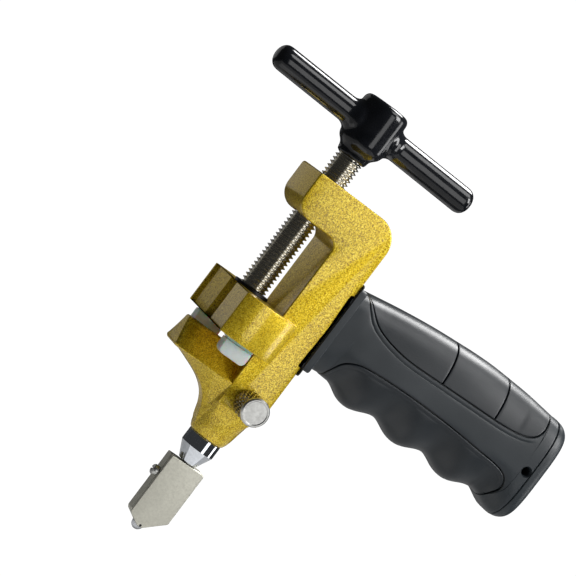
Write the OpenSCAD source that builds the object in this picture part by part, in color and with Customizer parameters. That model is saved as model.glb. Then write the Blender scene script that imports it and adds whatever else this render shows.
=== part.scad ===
// Glass cutter with a running clamp: a cutting head in the nose, a C-frame with an anvil and a
// screw-driven jaw that snaps the scored line, and a pistol grip behind the stem.
// Frame: +Z up the cutter's shank, +X towards the grip, +Y to the far side.
// Origin: where the shank's axis meets the work surface.

/* [C-frame] */
// Depth of the casting, side to side
frame_depth = 21; // [18:0.5:24]
// Width of the stem, front to back
stem_w = 14.5; // [13:0.5:17]
// Reach of the arm in front of the stem
arm_reach = 20.5; // [19:0.5:24]
// Height of the arm
arm_h = 15.2; // [12:0.1:18]
// Underside of the arm above the work surface
throat_top = 117.9; // [112:0.1:125]
// Radius of the outer corner behind the arm
back_corner_r = 9.1; // [4:0.1:12]
// Radius of the arm's lower front corner
front_corner_r = 6.5; // [2:0.5:9]

/* [Anvil and nose] */
// Height of the anvil's top edge
anvil_top = 69.3; // [67:0.1:70]
// Height of the anvil's side ridge
ridge_z = 59.5; // [58:0.1:62]
// How far the anvil stands in front of the shank's axis
anvil_reach = 31.2; // [28:0.1:34]
// Half width of the ridge at the anvil's front
ridge_front = 6.8; // [5:0.1:9]
// Height of the nose's lower face
nose_z = 39.2; // [39:0.1:41]
// Radius of the nose's lower face
nose_r = 6.7; // [6:0.1:7.5]

/* [Jaw] */
// Radius of the jaw's round sides
jaw_r = 21.8; // [20:0.1:24]
// Height of the jaw
jaw_h = 15.2; // [12:0.1:18]
// Underside of the jaw at rest
jaw_z = 72.5; // [72.3:0.1:74]
// Length of a pressure pad
pad_len = 10.6; // [9:0.1:13]
// Width of a pressure pad
pad_w = 4.6; // [3:0.1:5]
// How far a pad hangs below the jaw
pad_drop = 5.8; // [4:0.1:6]

/* [Clamp screw] */
// Outer diameter of the screw
screw_d = 10; // [8:0.5:12]
// Pitch of the screw's thread
screw_pitch = 1.5; // [1:0.25:2]
// Length of the cross bar over its coating
bar_len = 87.3; // [70:0.1:100]
// Diameter of the cross bar over its coating
bar_d = 9.7; // [8:0.1:11]
// Diameter of the hub over its coating
hub_d = 17.4; // [15:0.1:18]
// Thickness of the dipped coating
coat_t = 0.8; // [0.5:0.1:1.2]

/* [Cutter] */
// Diameter of the shank in the nose
shank_d = 6; // [5:0.1:7]
// Width of the cutting head
head_w = 13.9; // [13.4:0.1:14.4]
// Thickness of the cutting head
head_t = 6; // [5:0.1:7]
// Top of the cutting head
head_top = 28.2; // [27:0.1:28.4]
// Diameter of the cutting wheel
wheel_d = 4.9; // [4:0.1:5.2]
// Diameter of the thumb screw's knob
knob_d = 10.2; // [8:0.1:12]
// Length of the thumb screw's knob
knob_len = 11.2; // [8:0.1:14]

/* [Grip] */
// Half width of the grip at its fullest
grip_half = 13; // [12:0.1:15]
// Butt end of the grip behind the shank's axis
grip_end = 106; // [105:0.5:107]
// Depth of the finger grooves
groove_depth = 3.2; // [2:0.1:3.4]
// Distance between two finger grooves
groove_pitch = 22.5; // [22.3:0.1:22.6]
// Thickness of the soft inserts
insert_t = 2; // [1.5:0.1:2.5]
// Radius of the lanyard hole
lanyard_r = 2.1; // [1.5:0.05:2.2]

/* [Hidden] */
$fn = 48;

e = 0.01;                       // overlap of joined shapes
run_gap = 0.05;                 // radial clearance of a running fit
seam = 0.2;                     // width of a joint line between two bodies

stem_front = -stem_w / 2;
stem_back = stem_w / 2;
arm_front = stem_front - arm_reach;
arm_top = throat_top + arm_h;
screw_x = -18.8;                // axis of the clamp screw
screw_r = screw_d / 2;
throat_r = 4;                   // fillet between the arm and the stem
stem_base = 55;                 // where the stem turns into the nose
notch_depth = 1.05;             // two notches across the stem's back for the grip's ribs
notches = [[77.5, 79.6], [104, 106.2]];
bolt_z = [89, 102];             // heights of the two grip bolts
bolt_r = 2.5;
thumb_z = 57.1;                 // height of the thumb screw
thumb_r = 2.5;
plug_len = 3;
shank_r = shank_d / 2;
shank_top = 66;

anvil_top_half = 2;             // half width of the anvil's top edge
roof_steps = 7;
keel_steps = 8;
nose_steps = 5;                 // points on each side of a ring round the nose
nose_inset = 0.1;               // the nose's top stands this far inside the stem's sides
anvil_stations = [-anvil_reach, -29, -26, -22, -18.5, -15.8, -13.5, -11.5, -10, -8.8, -7.9, -6];
// underside of the anvil: x, z
keel = [[-anvil_reach, 58.9], [-27, 58.4], [-22, 56.7], [-15.8, 54.1], [-11.5, 50.9],
    [-9.2, 47.1], [-7.7, 43.2]];

jaw_top = jaw_z + jaw_h;
jaw_front = -26.9;
jaw_back = -4;
washer_t = 1;
washer_r = 6.6;
pivot_r = 2.5;                  // spindle's lower journal in the jaw
clip_z = jaw_z + 2;
clip_r = 3.6;
pad_x = -17.8;
pad_y = 17.6;
pad_corner = 1.8;
peg_r = 1.5;
peg_up = 4;

neck_z = 142.5;
hub_low = 145.8;
hub_high = 164.2;
bar_z = 154.9;
bar_x = -17.9;                  // middle of the bar, which is pushed through a little off centre
bar_edge = 3;                   // rounding of the bar's ends
hub_edge = 2.4;

head_left = -6.7;
head_right = head_left + head_w;
plate_t = 0.9;
plate_gap = 0.3;
axle_x = -0.8;
axle_z = wheel_d / 2;
axle_r = 0.6;
wheel_t = 1.1;
spigot_r = 1.6;
spigot_low = 15;
head_screw_z = 20.3;
ear_r = 1.3;                    // round tip of the head's plate around the wheel's axle
tip_r = 1.2;                    // round tip of the head's block, which leaves the wheel in sight
head_shoulders = [[head_left, head_top], [head_right - 0.9, head_top],
    [head_right, head_top - 0.9], [head_right, 7.7]];
plate_points = concat(head_shoulders,
    [for (a = [-50:-20:-150]) [axle_x + ear_r * cos(a), axle_z - 0.2 + ear_r * sin(a)]],
    [[head_left + 0.5, 4.2], [head_left, 5.1]]);
block_points = concat(head_shoulders,
    [for (a = [-50:-20:-150]) [axle_x + tip_r * cos(a), axle_z + 0.1 + tip_r * sin(a)]],
    [[head_left + 0.4, 4.6], [head_left, 5.3]]);

flange_x = 11.4;
plate_x = 8.8;                  // the flange's wide plate ends here, its step at flange_x
flange_low = 74.3;
flange_high = 111.7;
flange_half = 11.3;
step_low = 76.8;
step_high = 110.3;
grip_sides = 20;                // points round one section of the grip
grip_top_line = [[flange_x, 110], [15.9, 109.9], [34, 113.1], [52.3, 115], [75, 115.8],
    [94.5, 114.6], [101, 114.1], [103.6, 112.8], [105.3, 110.8], [grip_end, 108.6]];
grip_butt_line = [[98, 74.5], [101, 73.8], [103.6, 75], [105.3, 77], [grip_end, 79.2]];
grip_neck_line = [[flange_x, 77.6], [13.5, 78.4], [17, 78.7], [21, 78.2]];
grip_raise_line = [[21, 0.85], [24, 0.85], [30, 0.4], [36, 0.35], [44, 0]];
grip_width_line = [[flange_x, 11], [22, 11.6], [40, 12.5], [60, grip_half], [94, grip_half],
    [101, grip_half - 0.2], [103.6, grip_half - 1.3], [105.3, grip_half - 2.9],
    [grip_end, grip_half - 4.6]];
grip_power_line = [[flange_x, 3.2], [22, 2.6], [30, 2.5], [82, 2.5], [98, 3.4]];
groove_x = 44.3;                // deepest point of one finger groove
grip_stations = [flange_x - 0.2, 13.5, 17, 21, 24.5, 28, 31.5, 35, 38.5, 42, 45.5, 49, 52.5, 56,
    59.5, 63, 66.5, 70, 73.5, 77, 80.5, 84, 87.5, 91, 94.5, 98, 101, 103.6, 105.3, grip_end];
cavity_half = 8.5;
cavity_low = 83.5;
cavity_high = 107.5;
cavity_front = 17;
cap_x = 100.1;                  // joint line between the grip and its butt cap
spigot_len = 0.6;
pad_split = [52.3, 76];         // joint lines between the thumb pads
lanyard_at = [97.5, 93.5];      // x and z of the lanyard hole

function smooth(t) = t * t * (3 - 2 * t);
function power_cos(a, p) = sign(cos(a)) * pow(abs(cos(a)), 2 / p);
function power_sin(a, p) = sign(sin(a)) * pow(abs(sin(a)), 2 / p);

// Half width of the anvil's ridge at x
function ridge_half(x) =
    lookup(x, [[-anvil_reach, ridge_front], [-9, frame_depth / 2 - 0.2]]);

// One section of the anvil, from its top edge round the keel and back
function anvil_section(x) =
    let (w = ridge_half(x), low = lookup(x, keel),
        side = concat(
            [for (i = [0:roof_steps - 1]) let (t = i / roof_steps)
                [anvil_top_half + (w - anvil_top_half) * pow(t, 1.7),
                 anvil_top - (anvil_top - ridge_z) * t]],
            [for (i = [0:keel_steps - 1]) let (a = 90 * i / keel_steps)
                [w * pow(cos(a), 0.8), ridge_z - (ridge_z - low) * sin(a)]]))
    concat([for (p = side) [x, -p[0], p[1]]], [[x, 0, low]],
        [for (i = [len(side) - 1:-1:0]) [x, side[i][0], side[i][1]]]);

// Point i of a ring round the nose that turns from a circle of radius r (square = 0) into the
// stem's rectangle (square = 1)
function nose_point(i, r, square) =
    let (side = floor(i / nose_steps), t = i / nose_steps - side,
        corners = [[1, 1], [-1, 1], [-1, -1], [1, -1], [1, 1]],
        c = corners[side] * (1 - t) + corners[side + 1] * t,
        box = [c[0] * (stem_w / 2 - nose_inset), c[1] * (frame_depth / 2 - nose_inset)],
        around = atan2(c[1], c[0]))
    box * square + [r * cos(around), r * sin(around)] * (1 - square);
function nose_ring(z, r, square) =
    [for (i = [0:4 * nose_steps - 1]) let (p = nose_point(i, r, square)) [p[0], p[1], z]];

// Heights and half width of the grip's section at x
function grip_top(x) = lookup(x, grip_top_line);
function grip_low(x) =
    x < 21 ? lookup(x, grip_neck_line) :
    x > 97 ? lookup(x, grip_butt_line) :
    75.75 + lookup(x, grip_raise_line)
        + groove_depth / 2 * cos(360 * (x - groove_x) / groove_pitch);
function grip_section(x, inset) =
    let (high = grip_top(x) - inset, low = grip_low(x) + inset,
        half = lookup(x, grip_width_line) - inset, p = lookup(x, grip_power_line))
    [for (i = [0:grip_sides - 1]) let (a = 360 * i / grip_sides)
        [x, half * power_cos(a, p), (high + low) / 2 + (high - low) / 2 * power_sin(a, p)]];

// Closed solid through a list of rings with equal point counts
module loft(rings) {
    n = len(rings[0]);
    last = len(rings) - 1;
    polyhedron(
        points = [for (r = rings) for (p = r) p],
        faces = concat(
            [[for (i = [0:n - 1]) i]],
            [for (j = [0:last - 1]) for (i = [0:n - 1])
                [j * n + i, (j + 1) * n + i, (j + 1) * n + (i + 1) % n, j * n + (i + 1) % n]],
            [[for (i = [n - 1:-1:0]) last * n + i]]));
}

// What is left of a square corner outside its round; stands at the corner, towards +X +Y
module corner_waste(r) {
    difference() {
        translate([-1, -1]) square(r + 1);
        translate([r, r]) circle(r);
    }
}

// Rectangle with round corners, centred
module round_rect(size, r) {
    square([size[0] - 2 * r, size[1]], center = true);
    square([size[0], size[1] - 2 * r], center = true);
    for (x = [-1, 1], y = [-1, 1])
        translate([x * (size[0] / 2 - r), y * (size[1] / 2 - r)]) circle(r);
}

// Extrude an outline drawn in X and Z from y0 to y1
module across(y0, y1) {
    translate([0, y1, 0]) rotate([90, 0, 0]) linear_extrude(y1 - y0) children();
}

// Extrude an outline drawn in Y and Z from x0 to x1
module along(x0, x1) {
    translate([x0, 0, 0]) rotate([90, 0, 90]) linear_extrude(x1 - x0) children();
}

// Cylinder along +Y or +X from a given point
module rod_y(x, y, z, r, len) {
    translate([x, y, z]) rotate([-90, 0, 0]) cylinder(r = r, h = len);
}
module rod_x(x, y, z, r, len) {
    translate([x, y, z]) rotate([0, 90, 0]) cylinder(r = r, h = len);
}

module frame_outline() {
    difference() {
        union() {
            translate([stem_front, stem_base - 0.3]) square([stem_w, arm_top - stem_base + 0.3]);
            translate([arm_front, throat_top]) square([arm_reach + 1, arm_h]);
            translate([stem_front, throat_top]) mirror([1, 1]) corner_waste(throat_r);
        }
        translate([stem_back, arm_top]) mirror([1, 0]) mirror([0, 1]) corner_waste(back_corner_r);
        translate([arm_front, throat_top]) corner_waste(front_corner_r);
        translate([arm_front, arm_top]) mirror([0, 1]) corner_waste(1);
    }
}

module nose() {
    loft([nose_ring(nose_z, nose_r - 0.5, 0), nose_ring(nose_z + 0.5, nose_r, 0),
        nose_ring(nose_z + 3, nose_r + 0.9, 0), nose_ring(nose_z + 8, nose_r + 1.8, 0.05),
        nose_ring(nose_z + 11, nose_r + 2.4, 0.4), nose_ring(nose_z + 13.5, nose_r + 2.9, 0.8),
        nose_ring(stem_base, nose_r + 3, 1)]);
}

module c_frame() color("goldenrod") difference() {
    union() {
        across(-frame_depth / 2, frame_depth / 2) frame_outline();
        loft([for (x = anvil_stations) anvil_section(x)]);
        nose();
    }
    translate([screw_x, 0, throat_top - 1]) cylinder(r = screw_r + run_gap, h = arm_h + 2);
    translate([0, 0, nose_z - 1]) cylinder(r = shank_r + run_gap, h = shank_top + 0.5 - nose_z + 1);
    rod_y(0, -frame_depth / 2 - 1, thumb_z, thumb_r + run_gap, frame_depth / 2 + 1);
    for (n = notches) translate([stem_back - notch_depth, -frame_depth / 2 - 1, n[0]])
        cube([notch_depth + 1, frame_depth + 2, n[1] - n[0]]);
    for (z = bolt_z) rod_x(-3, 0, z, bolt_r, 12);
}

module jaw_outline() {
    difference() {
        intersection() {
            translate([screw_x, 0]) circle(jaw_r, $fn = 96);
            translate([jaw_front, -30]) square([jaw_back - jaw_front, 60]);
        }
        polygon([[jaw_front - 1, -19], [jaw_front + 1.2, -19], [jaw_front + 1.2, -3.4],
            [jaw_front + 3.1, -2.9], [jaw_front + 3.1, 2.9], [jaw_front + 1.2, 3.4],
            [jaw_front + 1.2, 19], [jaw_front - 1, 19]]);
        translate([stem_front - 0.3, -frame_depth / 2 - seam])
            square([20, frame_depth + 2 * seam]);
    }
}

module moving_jaw() color("goldenrod") difference() {
    translate([0, 0, jaw_z]) linear_extrude(jaw_h) jaw_outline();
    translate([screw_x, 0, jaw_z - 1]) cylinder(r = pivot_r + run_gap, h = jaw_h + 2);
    translate([screw_x, 0, jaw_z - 1]) cylinder(r = clip_r + 0.15, h = clip_z - jaw_z + 1.97);
    for (side = [-1, 1]) translate([pad_x, side * pad_y, jaw_z - 1])
        for (dx = [-3, 3]) translate([dx, 0, 0]) cylinder(r = peg_r, h = peg_up + 1.2);
}

module pressure_pad(side) {
    translate([pad_x, side * pad_y, jaw_z - 0.1]) {
        difference() {
            across(-pad_w / 2, pad_w / 2) translate([0, -pad_drop / 2])
                round_rect([pad_len, pad_drop], pad_corner);
            across(-pad_w / 2 - 1, pad_w / 2 + 1) translate([0, -0.9])
                for (dx = [-1, 1]) translate([dx * pad_len / 2, 0]) square([0.8, 0.5], center = true);
        }
        across(-pad_w / 2, pad_w / 2) translate([0, -0.35]) square([pad_len, 0.7], center = true);
        for (dx = [-3, 3]) translate([dx, 0, -0.5]) cylinder(r = peg_r - 0.02, h = peg_up + 0.5);
    }
}
module near_pad() color("lightcyan") pressure_pad(-1);
module far_pad() color("lightcyan") pressure_pad(1);

module thrust_washer() color("dimgray") translate([screw_x, 0, jaw_top]) difference() {
    cylinder(r = washer_r, h = washer_t);
    translate([0, 0, -1]) cylinder(r = pivot_r + 0.1, h = 3);
}

module spindle() color("silver") translate([screw_x, 0, 0]) difference() {
    union() {
        translate([0, 0, jaw_z + 0.3]) cylinder(r = pivot_r, h = jaw_h + 2);
        translate([0, 0, jaw_top + washer_t + 0.05])
            cylinder(r = screw_r, h = hub_low + coat_t - jaw_top - washer_t);
        translate([0, 0, hub_low + coat_t])
            cylinder(r = hub_d / 2 - coat_t, h = hub_high - hub_low - 2 * coat_t);
    }
    translate([0, 0, clip_z]) difference() {
        cylinder(r = pivot_r + 1, h = 1);
        translate([0, 0, -1]) cylinder(r = pivot_r - 0.6, h = 3);
    }
    rod_x(-20, 0, bar_z, bar_d / 2 - coat_t, 40);
}

module retaining_clip() color("dimgray") translate([screw_x, 0, clip_z + 0.1]) difference() {
    cylinder(r = clip_r, h = 0.8);
    translate([0, 0, -1]) cylinder(r = pivot_r - 0.55, h = 3);
    translate([-1.4, -8, -1]) cube([2.8, 7, 3]);
}

// Bar along X with rounded ends, through the hub
module round_bar(r, half, edge) {
    translate([bar_x, 0, bar_z]) rotate([0, 90, 0]) rotate_extrude() polygon(concat(
        [[0, -half]],
        [for (a = [-90:15:0]) [r - edge + edge * cos(a), edge - half + edge * sin(a)]],
        [for (a = [0:15:90]) [r - edge + edge * cos(a), half - edge + edge * sin(a)]],
        [[0, half]]));
}

module cross_bar() color("silver")
    round_bar(bar_d / 2 - coat_t, bar_len / 2 - coat_t, bar_edge - coat_t);

module handle_coat() color("black") difference() {
    union() {
        round_bar(bar_d / 2, bar_len / 2, bar_edge);
        translate([screw_x, 0, 0]) rotate_extrude() difference() {
            union() {
                translate([0, hub_low]) square([hub_d / 2, hub_high - hub_low]);
                translate([0, neck_z]) square([screw_r + 0.8, hub_low - neck_z + 1]);
            }
            translate([hub_d / 2, hub_low]) mirror([1, 0]) corner_waste(hub_edge);
            translate([hub_d / 2, hub_high]) mirror([1, 0]) mirror([0, 1])
                corner_waste(hub_edge);
        }
    }
    round_bar(bar_d / 2 - coat_t, bar_len / 2 - coat_t, bar_edge - coat_t);
    translate([screw_x, 0, neck_z - 1]) cylinder(r = screw_r, h = hub_low + coat_t - neck_z + 1);
    translate([screw_x, 0, hub_low + coat_t])
        cylinder(r = hub_d / 2 - coat_t, h = hub_high - hub_low - 2 * coat_t);
}

module clamp_plug() color("gold")
    rod_y(0, -shank_r - plug_len - 0.1, thumb_z, thumb_r - 0.05, plug_len);

module thumb_screw() color("silver") {
    rod_y(0, -frame_depth / 2 - 0.6, thumb_z, thumb_r, frame_depth / 2 + 0.4 - shank_r - plug_len);
    rod_y(0, -frame_depth / 2 - 0.5 - knob_len + 1.3, thumb_z, knob_d / 2, knob_len - 1.3);
    translate([0, -frame_depth / 2 - 0.5 - knob_len, thumb_z]) rotate([-90, 0, 0])
        cylinder(r1 = knob_d / 2 - 0.5, r2 = knob_d / 2, h = 1.3);
}

module cutter_shank() color("silver") {
    translate([0, 0, head_top + 0.5]) cylinder(r = shank_r, h = shank_top - head_top - 0.5);
    difference() {
        translate([0, 0, spigot_low]) cylinder(r = spigot_r, h = head_top + 1 - spigot_low);
        translate([0, 0, head_screw_z - 1.4]) difference() {
            cylinder(r = 3, h = 2.8);
            translate([0, 0, -1]) cylinder(r = spigot_r - 0.5, h = 5);
        }
    }
}

module collar() color("gainsboro") rotate_extrude()
    polygon([[shank_r, head_top + 0.5], [shank_r + 0.5, head_top + 0.5], [6.2, 34.3],
        [6.2, 38.5], [5.8, nose_z - 0.3], [shank_r, nose_z - 0.3]]);

module head_block() color("tan") difference() {
    across(-head_t / 2 + plate_t + plate_gap, head_t / 2) polygon(block_points);
    translate([0, 0, spigot_low - 0.3])
        cylinder(r = spigot_r + run_gap, h = head_top - spigot_low + 1);
    across(-wheel_t / 2 - 0.2, wheel_t / 2 + 0.2) translate([axle_x, axle_z])
        circle(wheel_d / 2 + 0.5);
    rod_y(axle_x, -5, axle_z, axle_r, 10);
    rod_x(-10, 0, head_screw_z, 1.25, 9.2);
}

module head_plate() color("tan") difference() {
    across(-head_t / 2, -head_t / 2 + plate_t) polygon(plate_points);
    rod_y(axle_x, -5, axle_z, axle_r, 10);
}

module head_screw() color("gray") {
    rod_x(-6.8, 0, head_screw_z, 1.15, 6.8 - spigot_r + 0.35);
    difference() {
        rod_x(head_left - 1.92, 0, head_screw_z, 1.9, 1.9);
        translate([head_left - 2.4, -3, head_screw_z - 0.25]) cube([1.1, 6, 0.5]);
    }
}

module wheel_axle() color("gray")
    rod_y(axle_x, -head_t / 2 + 0.1, axle_z, axle_r - 0.02, head_t - 0.2);

module cutting_wheel() color("silver") translate([axle_x, 0, axle_z]) rotate([90, 0, 0])
    rotate_extrude() polygon([[axle_r + run_gap, -wheel_t / 2], [1.9, -wheel_t / 2],
        [wheel_d / 2, -0.06], [wheel_d / 2, 0.06], [1.9, wheel_t / 2],
        [axle_r + run_gap, wheel_t / 2]]);

module grip_solid(inset) {
    loft([for (x = grip_stations) grip_section(x, inset)]);
}

// Side outlines of the inserts
module thumb_outline() {
    polygon([[12.7, 120], [12.7, 112.2], [13.9, 110.6], [16.8, 107.7], [20, 104.7], [22.2, 103.3],
        [25.3, 102.2], [29.6, 101.2], [35, 100.4], [41, 100.3], [51.8, 100.6], [78.6, 101.4],
        [86.1, 102.3], [90.7, 103.6], [93.4, 105.5], [94.9, 108.2], [95.3, 111.5], [95.3, 120]]);
}
module finger_outline() {
    polygon([[17.2, 70], [17.6, 79.6], [18.5, 82.6], [19.7, 85.6], [21.5, 87.7], [24, 89.2],
        [28, 90], [36.9, 90.7], [50.9, 91], [67.5, 90.5], [78, 89.9], [86, 89.3], [90, 88.6],
        [93.2, 86.8], [94.6, 84], [94.6, 80.6], [93.2, 76.8], [91, 70]]);
}

// Shell of the grip inside a side outline, where an insert lies
module insert_space() {
    intersection() {
        difference() {
            grip_solid(0);
            grip_solid(insert_t);
        }
        across(-20, 20) children();
    }
}

module grip_body() color("dimgray") difference() {
    union() {
        grip_solid(insert_t);
        difference() {
            grip_solid(0);
            across(-20, 20) thumb_outline();
            across(-20, 20) finger_outline();
        }
        along(stem_back + 0.05, plate_x) translate([0, (flange_low + flange_high) / 2])
            round_rect([2 * flange_half, flange_high - flange_low], 1.5);
        along(plate_x - 0.5, flange_x) translate([0, (step_low + step_high) / 2])
            round_rect([2 * flange_half - 1, step_high - step_low], 1.5);
        for (n = notches) along(stem_back - notch_depth + 0.05, stem_back + 0.5)
            translate([0, (n[0] + n[1]) / 2]) square([frame_depth, n[1] - n[0] - 0.1], center = true);
    }
    along(cavity_front, cap_x + 10) translate([0, (cavity_low + cavity_high) / 2])
        round_rect([2 * cavity_half, cavity_high - cavity_low], 5);
    translate([cap_x, -20, 60]) cube([20, 40, 70]);
    for (z = bolt_z) rod_x(0, 0, z, bolt_r + 0.1, 30);
    rod_y(lanyard_at[0], -20, lanyard_at[1], lanyard_r, 40);
}

module thumb_segment(x0, x1) {
    intersection() {
        insert_space() thumb_outline();
        translate([x0 + seam / 2, -20, 95]) cube([x1 - x0 - seam, 40, 30]);
    }
}
module thumb_pad_front() color("gray") thumb_segment(10, pad_split[0]);
module thumb_pad_middle() color("gray") thumb_segment(pad_split[0], pad_split[1]);
module thumb_pad_rear() color("gray") thumb_segment(pad_split[1], 100);
module finger_pad() color("gray") insert_space() finger_outline();

module butt_cap() color("dimgray") {
    intersection() {
        grip_solid(0);
        translate([cap_x + seam, -20, 60]) cube([20, 40, 70]);
    }
    along(cap_x - spigot_len, cap_x + seam + e) translate([0, (cavity_low + cavity_high) / 2])
        round_rect([2 * cavity_half - 0.1, cavity_high - cavity_low - 0.1], 4.95);
}

module grip_bolts() color("gray") for (z = bolt_z) {
    rod_x(-2, 0, z, bolt_r, cavity_front + 3);
    difference() {
        rod_x(cavity_front + 1, 0, z, 4.25, 5);
        translate([cavity_front + 3.5, 0, z]) rotate([0, 90, 0]) cylinder(r = 2.3, h = 4, $fn = 6);
    }
}

module grip_washers() color("silver") for (z = bolt_z) difference() {
    rod_x(cavity_front, 0, z, 5, 1);
    rod_x(cavity_front - 1, 0, z, bolt_r + 0.1, 3);
}

c_frame();
moving_jaw();
near_pad();
far_pad();
thrust_washer();
spindle();
retaining_clip();
cross_bar();
handle_coat();
clamp_plug();
thumb_screw();
cutter_shank();
collar();
head_block();
head_plate();
head_screw();
wheel_axle();
cutting_wheel();
grip_body();
thumb_pad_front();
thumb_pad_middle();
thumb_pad_rear();
finger_pad();
butt_cap();
grip_bolts();
grip_washers();
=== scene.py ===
import math

import bmesh
import bpy
import numpy as np
from mathutils import Matrix, Vector


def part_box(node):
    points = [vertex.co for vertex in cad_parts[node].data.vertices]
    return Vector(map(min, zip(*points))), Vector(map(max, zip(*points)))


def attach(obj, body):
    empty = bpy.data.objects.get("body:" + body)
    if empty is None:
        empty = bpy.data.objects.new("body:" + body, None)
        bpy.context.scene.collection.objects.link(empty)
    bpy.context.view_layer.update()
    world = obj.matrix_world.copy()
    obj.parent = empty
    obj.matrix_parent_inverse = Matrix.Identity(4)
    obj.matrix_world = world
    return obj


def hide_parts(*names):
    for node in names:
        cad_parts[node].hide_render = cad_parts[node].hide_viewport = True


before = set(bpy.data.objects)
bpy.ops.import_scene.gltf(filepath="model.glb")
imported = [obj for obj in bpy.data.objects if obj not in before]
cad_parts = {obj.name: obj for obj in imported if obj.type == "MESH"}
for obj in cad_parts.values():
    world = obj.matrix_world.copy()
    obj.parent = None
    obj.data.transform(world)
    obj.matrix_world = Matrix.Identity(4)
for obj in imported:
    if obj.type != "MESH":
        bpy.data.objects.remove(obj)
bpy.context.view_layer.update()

MM = 0.001


# ------------ sizes from the frame, in mm
def span(node):
    """Lowest and highest corner of a CAD node, in millimetres."""
    low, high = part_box(node)
    return np.array(low) / MM, np.array(high) / MM


def centre_of(node):
    low, high = span(node)
    return (low + high) / 2


frame_low, frame_high = span("c_frame")
jaw_low, jaw_high = span("moving_jaw")
coat_low, coat_high = span("handle_coat")
cap_low, cap_high = span("butt_cap")
screw_x = centre_of("spindle")[0]
stem_half = frame_high[0]
frame_half = frame_high[1]
arm_top = frame_high[2]


# ------------ outlines
LINE_POINTS = 400


def smooth_step(low, high, value):
    t = np.clip((value - low) / (high - low), 0, 1)
    return t * t * (3 - 2 * t)


def rounded(corners, steps=8):
    """Outline through (x, y, radius) corners, each turned on an arc of its radius."""
    points = []
    for i, (x, y, radius) in enumerate(corners):
        here = np.array((x, y), float)
        if radius == 0:
            points.append(here)
            continue
        back = np.array(corners[i - 1][:2]) - here
        ahead = np.array(corners[(i + 1) % len(corners)][:2]) - here
        back /= np.linalg.norm(back)
        ahead /= np.linalg.norm(ahead)
        half = math.acos(np.clip(back @ ahead, -1, 1)) / 2
        middle = (back + ahead) / np.linalg.norm(back + ahead)
        centre = here + middle * radius / math.sin(half)
        start = here + back * radius / math.tan(half) - centre
        end = here + ahead * radius / math.tan(half) - centre
        turn = math.atan2(start[0] * end[1] - start[1] * end[0], start @ end)
        for k in range(steps + 1):
            c, s = math.cos(turn * k / steps), math.sin(turn * k / steps)
            points.append(centre + (start[0] * c - start[1] * s, start[0] * s + start[1] * c))
    return np.array(points)


def rectangle(left, right, low, high, radius, steps=6):
    """Rectangle with rounded corners."""
    return rounded([(left, low, radius), (right, low, radius),
                    (right, high, radius), (left, high, radius)], steps)


def arc(centre, radius, start, end, steps):
    """Points on a circle, angles in degrees."""
    angles = np.radians(np.linspace(start, end, steps))
    return np.stack([centre[0] + radius * np.cos(angles), centre[1] + radius * np.sin(angles)], 1)


def inset(outline, distance):
    """The outline moved inwards by distance, its corners kept sharp."""
    after = np.roll(outline, -1, 0) - outline
    after /= np.linalg.norm(after, axis=1)[:, None] + 1e-12
    before = np.roll(after, 1, 0)
    area = np.sum(outline[:, 0] * np.roll(outline[:, 1], -1) - outline[:, 1] * np.roll(outline[:, 0], -1))
    side = 1.0 if area > 0 else -1.0
    n_before = np.stack([-before[:, 1], before[:, 0]], 1) * side
    n_after = np.stack([-after[:, 1], after[:, 0]], 1) * side
    spread = 1 + np.sum(n_before * n_after, 1)
    return outline + distance * (n_before + n_after) / np.maximum(spread, 0.3)[:, None]


def soft_line(points):
    """A smooth line through the points (Catmull-Rom), as a dense list."""
    p = np.array(points, float)
    p = np.vstack([2 * p[0] - p[1], p, 2 * p[-1] - p[-2]])
    out = []
    per = max(4, LINE_POINTS // (len(points) - 1))
    for i in range(1, len(p) - 2):
        for t in np.linspace(0, 1, per, endpoint=False):
            out.append(0.5 * (2 * p[i] + (p[i + 1] - p[i - 1]) * t
                              + (2 * p[i - 1] - 5 * p[i] + 4 * p[i + 1] - p[i + 2]) * t ** 2
                              + (3 * p[i] - p[i - 1] - 3 * p[i + 1] + p[i + 2]) * t ** 3))
    out.append(p[-2])
    return np.array(out)


# ------------ mesh making
def add_object(name, data):
    thing = bpy.data.objects.new(name, data)
    bpy.context.scene.collection.objects.link(thing)
    return thing


def make(name, points, faces, sharp=35):
    """An object from points in mm, with merged points, outward normals and smooth shading."""
    mesh = bpy.data.meshes.new(name)
    mesh.from_pydata([tuple(p) for p in np.asarray(points, float) * MM], [], faces)
    bm = bmesh.new()
    bm.from_mesh(mesh)
    bmesh.ops.remove_doubles(bm, verts=bm.verts, dist=2e-6)
    bmesh.ops.dissolve_degenerate(bm, edges=bm.edges, dist=1e-6)
    bmesh.ops.recalc_face_normals(bm, faces=bm.faces)
    bm.to_mesh(mesh)
    bm.free()
    piece = add_object(name, mesh)
    shade(piece, sharp)
    return piece


def shade(piece, sharp=35):
    piece.data.polygons.foreach_set("use_smooth", [True] * len(piece.data.polygons))
    piece.data.set_sharp_from_angle(angle=math.radians(sharp))


def settle(piece, sharp=35):
    """Applies the piece's modifiers to its mesh."""
    bpy.context.view_layer.update()
    graph = bpy.context.evaluated_depsgraph_get()
    mesh = bpy.data.meshes.new_from_object(piece.evaluated_get(graph))
    piece.modifiers.clear()
    old = piece.data
    piece.data = mesh
    bpy.data.meshes.remove(old)
    shade(piece, sharp)


def tube_of(rings):
    """Points and faces of a closed solid through equal rings."""
    count = len(rings[0])
    faces = []
    for j in range(len(rings) - 1):
        for i in range(count):
            k = (i + 1) % count
            faces.append((j * count + i, j * count + k, (j + 1) * count + k, (j + 1) * count + i))
    faces.append(tuple(range(count)))
    faces.append(tuple((len(rings) - 1) * count + i for i in range(count)))
    return np.vstack(rings), faces


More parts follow.
